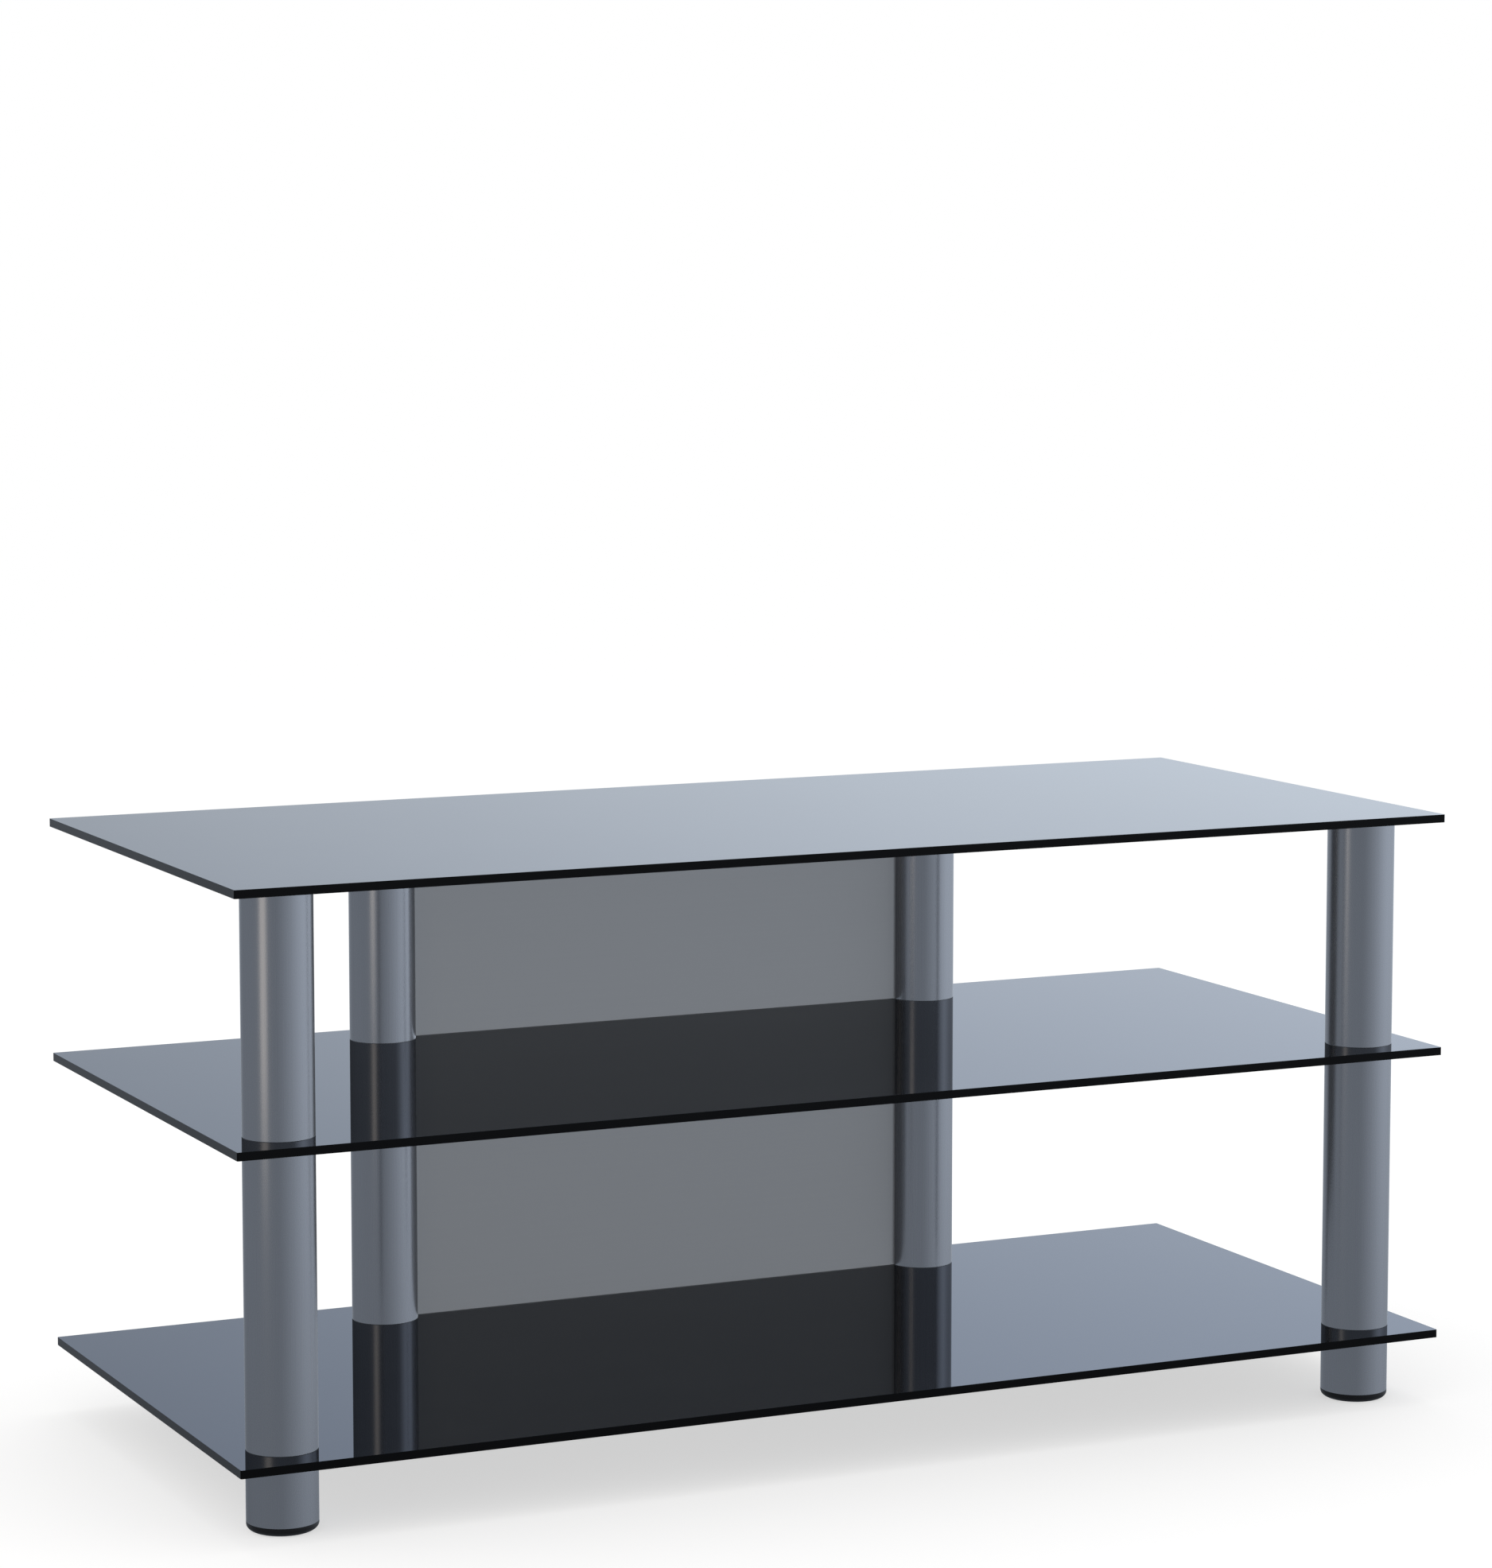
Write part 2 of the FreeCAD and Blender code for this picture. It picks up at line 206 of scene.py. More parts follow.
class StandStage(PropertyGroup):
    """The camera, the studio and its lamps."""

    camera_place: FloatVectorProperty(
        name="Camera", description="Place of the camera", default=(-1.4637, -3.1088, 0.8797),
        size=3, subtype="TRANSLATION",
    )
    camera_yaw: FloatProperty(
        name="Yaw", description="Turn of the camera to the right of straight ahead",
        default=math.radians(25.167), unit="ROTATION",
    )
    camera_pitch: FloatProperty(
        name="Pitch", description="Tilt of the camera below the horizon",
        default=math.radians(5.982), unit="ROTATION",
    )
    lens: FloatProperty(
        name="Lens", description="Focal length in millimetres", default=106.848, unit="CAMERA"
    )
    shift: FloatProperty(name="Shift", description="Upright shift of the lens", default=-0.04)
    ambient: share("Ambient", "Brightness of the even light all round", 0.80)
    tint: colour("Low tint", "Cool tint of the low parts of what the gloss reflects", (0.90, 1.0, 1.135))
    high_tint: colour(
        "High tint", "Cool tint of the high parts of what the gloss reflects", (0.80, 0.96, 1.27)
    )
    ground: share("Ground", "Brightness of the studio's ground in reflections", 0.555)
    fill: share("Fill", "Brightness that the ground gains towards the right in reflections", 0.88)
    room: share("Room", "Brightness of the room above the ground in reflections", 0.22)
    glow: FloatProperty(
        name="Glow", description="Brightness that the room gains towards the right in reflections",
        default=0.983, min=0.0,
    )
    overhead: share("Overhead", "Brightness that the room gains overhead in reflections", 0.55)
    top_power: power("Top lamp", "Power of the top lamp in watts", 12.0)
    strip_power: power("Strip lamp", "Power of the strip lamp in watts", 0.92)
    strip_colour: colour("Strip colour", "Colour of the strip lamp", (1.0, 0.88, 0.74))
    floor: colour("Floor", "Colour of the floor", (0.50, 0.50, 0.50))
    floor_lift: share("Floor lift", "White that the camera adds on the floor", 0.60)


# Mesh tools

def spin_profile(bm, points, axis, steps, closed=False):
    """Turns a profile of (radius, height) points once about the upright through axis."""
    verts = [bm.verts.new((axis.x + radius, axis.y, height)) for radius, height in points]
    pairs = list(zip(verts, verts[1:]))
    if closed:
        pairs.append((verts[-1], verts[0]))
    edges = [bm.edges.new(pair) for pair in pairs]
    bmesh.ops.spin(
        bm, geom=verts + edges, cent=axis, axis=UP, angle=math.tau, steps=steps, use_merge=True
    )
    bmesh.ops.remove_doubles(bm, verts=bm.verts[:], dist=WELD)
    bmesh.ops.recalc_face_normals(bm, faces=bm.faces[:])


def ease(bm, edges, width, segments):
    """Rounds edges with a bevel of the given width."""
    bmesh.ops.bevel(
        bm, geom=edges, offset=width, offset_type="OFFSET", segments=segments,
        profile=0.5, affect="EDGES", material=-1,
    )


def runs_round(edge, axis):
    """Whether an edge's two ends are equally far from an upright axis."""
    first, second = ((vert.co.xy - axis.xy).length for vert in edge.verts)
    return abs(first - second) < WELD


def flat_at(edge, *heights):
    """Whether an edge lies at one of some heights."""
    return any(all(abs(vert.co.z - height) < WELD for vert in edge.verts) for height in heights)


def close_open_edges(bm):
    """Fills every open loop of a mesh with a face."""
    bmesh.ops.holes_fill(bm, edges=[edge for edge in bm.edges if edge.is_boundary], sides=0)
    bmesh.ops.recalc_face_normals(bm, faces=bm.faces[:])


def make_piece(name, bm, materials, body, node, smooth=True):
    """Turns a bmesh into a finished piece that stands for a node of the frame."""
    mesh = bpy.data.meshes.new(name)
    bm.to_mesh(mesh)
    bm.free()
    for material in materials:
        mesh.materials.append(material)
    mesh.polygons.foreach_set("use_smooth", [smooth] * len(mesh.polygons))
    if smooth:
        mesh.set_sharp_from_angle(angle=SMOOTH_ANGLE)
    piece = bpy.data.objects.new(name, mesh)
    bpy.context.scene.collection.objects.link(piece)
    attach(piece, body)
    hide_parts(node)
    return piece


# Shapes of the pieces

def shelf_mesh(low, high, hole_centres, shape):
    """A pane with rounded corners, drilled holes and a ground edge."""
    bm = bmesh.new()
    corners = ((low.x, low.y), (high.x, low.y), (high.x, high.y), (low.x, high.y))
    bm.faces.new([bm.verts.new((x, y, low.z)) for x, y in corners])
    bmesh.ops.bevel(
        bm, geom=bm.verts[:], offset=shape.shelf_corner, offset_type="OFFSET", segments=CORNER_STEPS,
        profile=0.5, affect="VERTICES", material=-1,
    )
    if hole_centres:
        bmesh.ops.delete(bm, geom=bm.faces[:], context="FACES_ONLY")
        for centre in hole_centres:
            bmesh.ops.create_circle(
                bm, cap_ends=False, radius=shape.stud_hole / 2, segments=shape.thread_steps,
                matrix=Matrix.Translation((centre.x, centre.y, low.z)),
            )
        bmesh.ops.triangle_fill(bm, use_beauty=True, use_dissolve=False, edges=bm.edges[:])
    lifted = bmesh.ops.extrude_face_region(bm, geom=bm.faces[:])["geom"]
    top_verts = [item for item in lifted if isinstance(item, bmesh.types.BMVert)]
    bmesh.ops.translate(bm, vec=UP * (high.z - low.z), verts=top_verts)
    bmesh.ops.recalc_face_normals(bm, faces=bm.faces[:])
    rims = [edge for edge in bm.edges if edge.calc_face_angle(0.0) > RIM_ANGLE]
    rims = [edge for edge in rims if flat_at(edge, low.z, high.z)]
    ease(bm, rims, shape.shelf_arris, EDGE_STEPS)
    for face in bm.faces:
        face.material_index = SHELF_FACE if abs(face.normal.z) > FLAT_NORMAL else SHELF_EDGE
    return bm


def tube_mesh(low, high, axis, slot_side, shape):
    """A tube with broken end edges, and with a slot down one side where slot_side isn't 0."""
    bm = bmesh.new()
    bore = TUBE_RADIUS - shape.tube_wall
    wall = ((bore, low.z), (TUBE_RADIUS, low.z), (TUBE_RADIUS, high.z), (bore, high.z))
    spin_profile(bm, wall, axis, shape.round_steps, closed=True)
    rims = [edge for edge in bm.edges if flat_at(edge, low.z, high.z) and runs_round(edge, axis)]
    ease(bm, rims, shape.tube_edge, EDGE_STEPS)
    if slot_side:
        cut_slot(bm, axis, slot_side, shape.slot_width / 2)
    return bm


def cut_slot(bm, axis, side, half_width):
    """Cuts a slot of parallel sides down the side of a tube."""
    for offset in (-half_width, half_width):
        faces = [f for f in bm.faces if (f.calc_center_median().x - axis.x) * side > 0]
        edges = {edge for face in faces for edge in face.edges}
        verts = {vert for face in faces for vert in face.verts}
        bmesh.ops.bisect_plane(
            bm, geom=[*verts, *edges, *faces], dist=WELD,
            plane_co=axis + Vector((0.0, offset, 0.0)), plane_no=(0.0, 1.0, 0.0),
        )
    inside = [
        face for face in bm.faces
        if (face.calc_center_median().x - axis.x) * side > 0
        and abs(face.calc_center_median().y - axis.y) < half_width
    ]
    bmesh.ops.delete(bm, geom=inside, context="FACES")
    close_open_edges(bm)


def panel_mesh(low, high, plate_x, shape):
    """A plate with eased long edges and a tongue at each end that reaches into the column."""
    bm = bmesh.new()
    centre = (low + high) / 2
    size = Vector((2 * plate_x, high.y - low.y, high.z - low.z))
    place = Matrix.Translation(centre) @ Matrix.Diagonal(size).to_4x4()
    bmesh.ops.create_cube(bm, size=1.0, matrix=place)
    long_edges = [edge for edge in bm.edges if abs(edge.calc_length() - size.x) < WELD]
    ease(bm, long_edges, shape.panel_edge, EDGE_STEPS)
    for height in (low.z + shape.tongue_setback, high.z - shape.tongue_setback):
        bmesh.ops.bisect_plane(
            bm, geom=[*bm.verts, *bm.edges, *bm.faces], dist=WELD,
            plane_co=(0.0, 0.0, height), plane_no=UP,
        )
    for side in (-1, 1):
        ends = [
            face for face in bm.faces
            if all(abs(vert.co.x - side * plate_x) < WELD for vert in face.verts)
            and abs(face.calc_center_median().z - centre.z) < size.z / 2 - shape.tongue_setback
        ]
        lifted = bmesh.ops.extrude_face_region(bm, geom=ends)["geom"]
        tip = [item for item in lifted if isinstance(item, bmesh.types.BMVert)]
        bmesh.ops.translate(bm, vec=(side * (high.x - plate_x), 0.0, 0.0), verts=tip)
    bmesh.ops.recalc_face_normals(bm, faces=bm.faces[:])
    return bm


def pad_mesh(low, high, axis, shape):
    """A round pad with an elliptical rim, a straight band and a snap socket for the screw."""
    bm = bmesh.new()
    flat_radius = TUBE_RADIUS - shape.pad_rim
    rim_height = high.z - low.z - shape.pad_band
    quarter = [0.5 * math.pi * step / shape.rim_steps for step in range(shape.rim_steps + 1)]
    rim = [
        (flat_radius + shape.pad_rim * math.sin(turn), low.z + rim_height * (1.0 - math.cos(turn)))
        for turn in quarter
    ]
    socket_top = low.z + shape.socket_floor + shape.socket_height
    outline = [
        (0.0, low.z),
        *rim,
        (TUBE_RADIUS, high.z - shape.pad_edge),
        (TUBE_RADIUS - shape.pad_edge, high.z),
        (shape.socket_mouth / 2, high.z),
        (shape.socket_mouth / 2, socket_top),
        (shape.socket_width / 2, socket_top),
        (shape.socket_width / 2, low.z + shape.socket_floor),
        (0.0, low.z + shape.socket_floor),
    ]
    spin_profile(bm, outline, axis, shape.round_steps)
    return bm


def screw_mesh(low, high, pad_top, axis, shape):
    """A levelling screw: a snap head, a neck, a hexagon collar and a cut thread."""
    bm = bmesh.new()
    collar_low = pad_top + shape.collar_gap
    collar_high = collar_low + shape.collar_height
    head_radius = shape.head_width / 2
    head_high = low.z + shape.head_height
    core = shape.thread_width / 2 - shape.thread_depth
    collar_corner = shape.collar_flats / math.sqrt(3.0)
    add_thread(bm, collar_low, high.z, axis, shape)
    head = [
        (0.0, low.z),
        (head_radius - shape.steel_edge, low.z),
        (head_radius, low.z + shape.steel_edge),
        (head_radius, head_high - shape.steel_edge),
        (head_radius - shape.steel_edge, head_high),
        (core, head_high),
        (core, collar_high),
        (0.0, collar_high),
    ]
    spin_profile(bm, head, axis, shape.thread_steps)
    collar = bmesh.ops.create_cone(
        bm, cap_ends=True, cap_tris=False, segments=COLLAR_SIDES, depth=shape.collar_height,
        radius1=collar_corner, radius2=collar_corner,
        matrix=Matrix.Translation(axis + UP * (collar_low + collar_high) / 2),
    )["verts"]
    rims = {edge for vert in collar for edge in vert.link_edges}
    rims = [edge for edge in rims if flat_at(edge, collar_low, collar_high)]
    ease(bm, rims, shape.steel_edge, COLLAR_EDGE_STEPS)
    return bm


def add_thread(bm, low, high, axis, shape):
    """Winds one groove profile up the screw, trims it square at both ends and closes it."""
    crest = shape.thread_width / 2
    root = crest - shape.thread_depth
    flat = SCREW_PITCH * CREST_SHARE
    flank = (SCREW_PITCH - flat) / 2
    start = low - SCREW_PITCH
    profile = ((root, 0.0), (crest, flank), (crest, flank + flat), (root, SCREW_PITCH))
    verts = [bm.verts.new((axis.x + radius, axis.y, start + height)) for radius, height in profile]
    edges = [bm.edges.new(pair) for pair in zip(verts, verts[1:])]
    turns = math.ceil((high - start) / SCREW_PITCH) + 1
    bmesh.ops.spin(
        bm, geom=verts + edges, cent=axis, axis=UP, dvec=UP * SCREW_PITCH / shape.thread_steps,
        angle=math.tau * turns, steps=turns * shape.thread_steps, use_merge=False,
    )
    bmesh.ops.remove_doubles(bm, verts=bm.verts[:], dist=WELD)
    for height, outwards in ((low, -UP), (high, UP)):
        bmesh.ops.bisect_plane(
            bm, geom=[*bm.verts, *bm.edges, *bm.faces], dist=WELD,
            plane_co=(0.0, 0.0, height), plane_no=outwards, clear_outer=True,
        )
    close_open_edges(bm)


# Effects that several materials share

# Detail of the noise in each effect, and the levels between which a handling mark grows
STREAK_DETAIL = 3.0
MARK_DETAIL = 5.0
MARK_ROUGHNESS = 0.6
MARK_EDGES = (0.35, 0.70)
GRAIN_DETAIL = 2.0


def new_group(name, given, given_kind, result):
    """An empty shader node group with one named input and one named output value."""
    group = bpy.data.node_groups.new(name, "ShaderNodeTree")
    group.interface.new_socket(given, in_out="INPUT", socket_type=given_kind)
    group.interface.new_socket(result, in_out="OUTPUT", socket_type="NodeSocketFloat")
    return group, group.nodes.new("NodeGroupInput"), group.nodes.new("NodeGroupOutput")


def drawn_grain_group():
    """Fine streaks that run along one direction, as a die or a roller leaves them."""
    name = "drawn_grain"
    if name in bpy.data.node_groups:
        return bpy.data.node_groups[name]
    group, given, result = new_group(name, "Stretch", "NodeSocketVector", "Streak")
    place = group.nodes.new("ShaderNodeTexCoord")
    scaled = group.nodes.new("ShaderNodeVectorMath")
    scaled.operation = "MULTIPLY"
    noise = group.nodes.new("ShaderNodeTexNoise")
    noise.inputs["Scale"].default_value = 1.0
    noise.inputs["Detail"].default_value = STREAK_DETAIL
    group.links.new(place.outputs["Object"], scaled.inputs[0])
    group.links.new(given.outputs["Stretch"], scaled.inputs[1])
    group.links.new(scaled.outputs["Vector"], noise.inputs["Vector"])
    group.links.new(noise.outputs["Fac"], result.inputs["Streak"])
    return group


def handling_group():
    """Broad soft patches, as handling and wiping leave them."""
    name = "handling_marks"
    if name in bpy.data.node_groups:
        return bpy.data.node_groups[name]
    group, given, result = new_group(name, "Scale", "NodeSocketFloat", "Mask")
    place = group.nodes.new("ShaderNodeTexCoord")
    noise = group.nodes.new("ShaderNodeTexNoise")
    noise.inputs["Detail"].default_value = MARK_DETAIL
    noise.inputs["Roughness"].default_value = MARK_ROUGHNESS
    spread = group.nodes.new("ShaderNodeMapRange")
    spread.interpolation_type = "SMOOTHSTEP"
    spread.inputs["From Min"].default_value, spread.inputs["From Max"].default_value = MARK_EDGES
    group.links.new(place.outputs["Object"], noise.inputs["Vector"])
    group.links.new(given.outputs["Scale"], noise.inputs["Scale"])
    group.links.new(noise.outputs["Fac"], spread.inputs["Value"])
    group.links.new(spread.outputs["Result"], result.inputs["Mask"])
    return group


def moulded_grain_group():
    """The fine spark-eroded texture that a mould leaves on plastic or rubber."""
    name = "moulded_grain"
    if name in bpy.data.node_groups:
        return bpy.data.node_groups[name]
    group, given, result = new_group(name, "Scale", "NodeSocketFloat", "Grain")
    place = group.nodes.new("ShaderNodeTexCoord")
    noise = group.nodes.new("ShaderNodeTexNoise")
    noise.inputs["Detail"].default_value = GRAIN_DETAIL
    group.links.new(place.outputs["Object"], noise.inputs["Vector"])
    group.links.new(given.outputs["Scale"], noise.inputs["Scale"])
    group.links.new(noise.outputs["Fac"], result.inputs["Grain"])
    return group


# Materials

# Black glass and its ground edge
GLASS_IOR = 1.5
GLASS_ROUGHNESS = (0.0, 0.025)
GLASS_FILM_SCALE = 14.0
EDGE_IOR = 1.14
EDGE_ROUGHNESS = (0.06, 0.18)
EDGE_SPREAD = 0.3
EDGE_STRETCH = (700.0, 700.0, 2500.0)

# Satin metal, with the tone that it takes where it is seen along its surface
TUBE_METALLIC = 1.0
TUBE_STRETCH = (1400.0, 1400.0, 3.0)
PANEL_METALLIC = 0.55
PANEL_STRETCH = (6.0, 900.0, 900.0)
SATIN_RIM = (0.65, 0.65, 0.65, 1.0)
SATIN_SPREAD = 0.02
SATIN_ROUGHNESS_PLAY = 0.03
SATIN_BUMP = 0.05
SATIN_RELIEF = 0.01 * MILLIMETRE

# Plated steel
STEEL_ROUGHNESS = (0.24, 0.40)
STEEL_SPREAD = 0.12
STEEL_CLOUD_SCALE = 180.0

# Moulded plastic and rubber
FOOT_ROUGHNESS = 0.48
FOOT_GRAIN_SCALE = 2200.0
INSERT_ROUGHNESS = 0.50
INSERT_GRAIN_SCALE = 1800.0
RUBBER_ROUGHNESS = 0.70
RUBBER_GRAIN_SCALE = 2600.0
MOULDED_SPECULAR = 0.25
MOULDED_SPREAD = 0.20
MOULDED_ROUGHNESS_PLAY = 0.05
MOULDED_MARK_SCALE = 60.0
MOULDED_BUMP = 0.25
MOULDED_RELIEF = 0.05 * MILLIMETRE


def new_material(name):
    """A material with its Principled shader."""
    material = bpy.data.materials.new(name)
    material.use_nodes = True
    return material, material.node_tree, material.node_tree.nodes["Principled BSDF"]


def place_group(tree, group, **values):
    """Puts a shared effect in a material with its own values."""
    used = tree.nodes.new("ShaderNodeGroup")
    used.node_tree = group
    for name, value in values.items():
        used.inputs[name].default_value = value
    return used


def link_range(tree, source, levels, target):
    """Feeds a value from 0 to 1 into a socket as a value from the first level to the second."""
    spread = tree.nodes.new("ShaderNodeMapRange")
    spread.inputs["To Min"].default_value, spread.inputs["To Max"].default_value = levels
    tree.links.new(source, spread.inputs["Value"])
    tree.links.new(spread.outputs["Result"], target)


def link_colours(tree, source, colours, target):
    """Feeds a colour into a socket, from the first to the second as source goes from 0 to 1."""
    mixed = tree.nodes.new("ShaderNodeMix")
    mixed.data_type = "RGBA"
    for socket_name, tone in zip("AB", colours):
        mixed.inputs[socket_name].default_value = (*tone, 1.0)
    tree.links.new(source, mixed.inputs["Factor"])
    tree.links.new(mixed.outputs["Result"], target)


def link_bump(tree, source, strength, depth, target):
    """Feeds a height into a normal socket, as relief of the given depth in metres."""
    bump = tree.nodes.new("ShaderNodeBump")
    bump.inputs["Strength"].default_value = strength
    bump.inputs["Distance"].default_value = depth
    tree.links.new(source, bump.inputs["Height"])
    tree.links.new(bump.outputs["Normal"], target)


def shades(base, spread):
    """A colour made a little darker and a little lighter."""
    return [part * (1.0 - spread) for part in base], [part * (1.0 + spread) for part in base]


def around(middle, play):
    """The levels a little below and a little above a middle one."""
    return middle - play, middle + play


def black_glass_material(finish):
    """Polished black glass with a hardly visible film."""
    material, tree, shader = new_material("black_glass")
    shader.inputs["IOR"].default_value = GLASS_IOR
    film = place_group(tree, handling_group(), Scale=GLASS_FILM_SCALE).outputs["Mask"]
    link_range(tree, film, GLASS_ROUGHNESS, shader.inputs["Roughness"])
    link_colours(tree, film, (finish.glass, finish.glass_dust), shader.inputs["Base Color"])
    return material


def ground_edge_material(finish):
    """The ground edge of a shelf: black, and duller than the polished face."""
    material, tree, shader = new_material("glass_ground_edge")
    shader.inputs["IOR"].default_value = EDGE_IOR
    grinding = place_group(tree, drawn_grain_group(), Stretch=EDGE_STRETCH).outputs["Streak"]
    link_range(tree, grinding, EDGE_ROUGHNESS, shader.inputs["Roughness"])
    link_colours(tree, grinding, shades(finish.glass_edge, EDGE_SPREAD), shader.inputs["Base Color"])
    return material


def satin_metal_material(name, base, metallic, roughness, stretch):
    """Satin metal, bare or lacquered, with fine streaks along one direction."""
    material, tree, shader = new_material(name)
    shader.inputs["Metallic"].default_value = metallic
    shader.inputs["Specular Tint"].default_value = SATIN_RIM
    grain = place_group(tree, drawn_grain_group(), Stretch=stretch).outputs["Streak"]
    link_colours(tree, grain, shades(base, SATIN_SPREAD), shader.inputs["Base Color"])
    link_range(tree, grain, around(roughness, SATIN_ROUGHNESS_PLAY), shader.inputs["Roughness"])
    link_bump(tree, grain, SATIN_BUMP, SATIN_RELIEF, shader.inputs["Normal"])
    return material


def plated_steel_material(finish):
    """Zinc plated steel with the cloudy tone of its coating."""
    material, tree, shader = new_material("plated_steel")
    shader.inputs["Metallic"].default_value = 1.0
    clouds = place_group(tree, handling_group(), Scale=STEEL_CLOUD_SCALE).outputs["Mask"]
    link_colours(tree, clouds, shades(finish.steel, STEEL_SPREAD), shader.inputs["Base Color"])
    link_range(tree, clouds, STEEL_ROUGHNESS, shader.inputs["Roughness"])
    return material


def moulded_material(name, base, roughness, scale):
    """Moulded plastic or rubber with a fine matt grain."""
    material, tree, shader = new_material(name)
    shader.inputs["Specular IOR Level"].default_value = MOULDED_SPECULAR
    grain = place_group(tree, moulded_grain_group(), Scale=scale).outputs["Grain"]
    marks = place_group(tree, handling_group(), Scale=MOULDED_MARK_SCALE).outputs["Mask"]
    link_colours(tree, grain, shades(base, MOULDED_SPREAD), shader.inputs["Base Color"])
    link_range(tree, marks, around(roughness, MOULDED_ROUGHNESS_PLAY), shader.inputs["Roughness"])
    link_bump(tree, grain, MOULDED_BUMP, MOULDED_RELIEF, shader.inputs["Normal"])
    return material


def dress(node, material):
    """Gives a node of the frame its finish."""
    for slot in frame["nodes"][node].material_slots:
        slot.material = material


# Operators

class GLASS_STAND_OT_shelves(Operator):
    """Model the three ground and polished glass shelves."""

    bl_idname = "glass_stand.shelves"
    bl_label = "Glass Shelves"

    def execute(self, context):
        shape = context.scene.glass_stand_shape
        finish = context.scene.glass_stand_finish
        materials = [black_glass_material(finish), ground_edge_material(finish)]
        for level in LEVELS:
            node = f"{level}_shelf"
            holes = list(COLUMN_AXES.values()) if level in DRILLED_LEVELS else []
            bm = shelf_mesh(*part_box(node), holes, shape)
            pane = make_piece(
                f"{level}_glass_shelf", bm, materials, "stand", node, smooth=False
            )
            # The columns mirror the pale studio, not the panes, right down to their ends
            pane.visible_glossy = False
        return {"FINISHED"}


class GLASS_STAND_OT_columns(Operator):
    """Model the column tubes, with slots for the panels in the rear ones."""

    bl_idname = "glass_stand.columns"
    bl_label = "Column Tubes"

    def execute(self, context):
        shape = context.scene.glass_stand_shape
        finish = context.scene.glass_stand_finish
        material = satin_metal_material(
            "tube_aluminium", finish.tube, TUBE_METALLIC, finish.tube_roughness, TUBE_STRETCH
        )
        for column, axis in COLUMN_AXES.items():
            for tier in TUBE_TIERS:
                node = f"{column}_{tier}_tube"
                slotted = column.startswith("rear") and tier in PANEL_TIERS
                slot_side = -math.copysign(1.0, axis.x) if slotted else 0
                bm = tube_mesh(*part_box(node), axis, slot_side, shape)
                make_piece(f"{node}_satin", bm, [material], "stand", node)
        return {"FINISHED"}


class GLASS_STAND_OT_panels(Operator):
    """Model the two metal panels between the rear columns."""

    bl_idname = "glass_stand.panels"
    bl_label = "Rear Panels"

    def execute(self, context):
        shape = context.scene.glass_stand_shape
        finish = context.scene.glass_stand_finish
        material = satin_metal_material(
            "panel_metal", finish.panel, PANEL_METALLIC, finish.panel_roughness, PANEL_STRETCH
        )
        plate_x = COLUMN_AXES["rear_right"].x - TUBE_RADIUS + shape.panel_entry
        for tier in PANEL_TIERS:
            node = f"{tier}_rear_panel"
            bm = panel_mesh(*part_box(node), plate_x, shape)
            make_piece(f"{node}_satin", bm, [material], "stand", node)
        return {"FINISHED"}


class GLASS_STAND_OT_feet(Operator):
    """Model the four pads and their threaded levelling screws."""

    bl_idname = "glass_stand.feet"
    bl_label = "Levelling Feet"

    def execute(self, context):
        shape = context.scene.glass_stand_shape
        finish = context.scene.glass_stand_finish
        plastic = moulded_material("foot_plastic", finish.foot, FOOT_ROUGHNESS, FOOT_GRAIN_SCALE)
        steel = plated_steel_material(finish)
        for column, axis in COLUMN_AXES.items():
            pad = f"{column}_foot_pad"
            screw = f"{column}_levelling_screw"
            pad_low, pad_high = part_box(pad)
            bm = pad_mesh(pad_low, pad_high, axis, shape)
            make_piece(f"{pad}_moulded", bm, [plastic], pad, pad)
            bm = screw_mesh(*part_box(screw), pad_high.z, axis, shape)
            make_piece(f"{screw}_threaded", bm, [steel], screw, screw)
        return {"FINISHED"}


class GLASS_STAND_OT_inner_pieces(Operator):
    """Finish the inserts, studs, discs, bushes and soft washers that the frame models."""

    bl_idname = "glass_stand.inner_pieces"
    bl_label = "Inner Pieces"

    def execute(self, context):
        finish = context.scene.glass_stand_finish
        steel = bpy.data.materials["plated_steel"]
        plastic = moulded_material(
            "insert_plastic", finish.insert, INSERT_ROUGHNESS, INSERT_GRAIN_SCALE
        )
        rubber = moulded_material(
            "gasket_rubber", finish.rubber, RUBBER_ROUGHNESS, RUBBER_GRAIN_SCALE
        )
        for level in DRILLED_LEVELS:
            dress(f"{level}_shelf_gaskets", rubber)
            dress(f"{level}_shelf_bushes", plastic)
        for column in COLUMN_AXES:
            dress(f"{column}_tube_inserts", plastic)
            dress(f"{column}_foot_insert", plastic)
            dress(f"{column}_joining_studs", steel)
            dress(f"{column}_bonded_disc", steel)
        return {"FINISHED"}


class GLASS_STAND_OT_stage(Operator):
    """Set the floor, the soft studio light and the camera."""

    bl_idname = "glass_stand.stage"
    bl_label = "Studio Stage"

    def execute(self, context):
        stage = context.scene.glass_stand_stage
        context.scene.view_settings.view_transform = "Standard"
        context.scene.world = studio_world(stage)
        add_floor(stage)
        top = add_lamp("top_lamp", TOP_LAMP_PLACE, TOP_LAMP_TARGET, TOP_LAMP_SIZE)
        top.data.energy = stage.top_power
        top.visible_glossy = False
        strip = add_lamp("strip_lamp", STRIP_LAMP_PLACE, STRIP_LAMP_TARGET, STRIP_LAMP_SIZE)
        strip.data.energy = stage.strip_power
        strip.data.color = stage.strip_colour
        add_camera(context.scene, stage)
        return {"FINISHED"}


# Stage

# Half the floor's width, and where each lamp stands, what it faces and how large it is, in metres
FLOOR_HALF = 30.0
TOP_LAMP_PLACE = (0.25, 0.15, 2.4)
TOP_LAMP_TARGET = (0.0, 0.0, 0.2)
TOP_LAMP_SIZE = (1.8, 1.8)
STRIP_LAMP_PLACE = (-1.07, -0.50, 0.66)
STRIP_LAMP_TARGET = (-0.3, -0.1, 0.66)
STRIP_LAMP_SIZE = (0.26, 1.02)

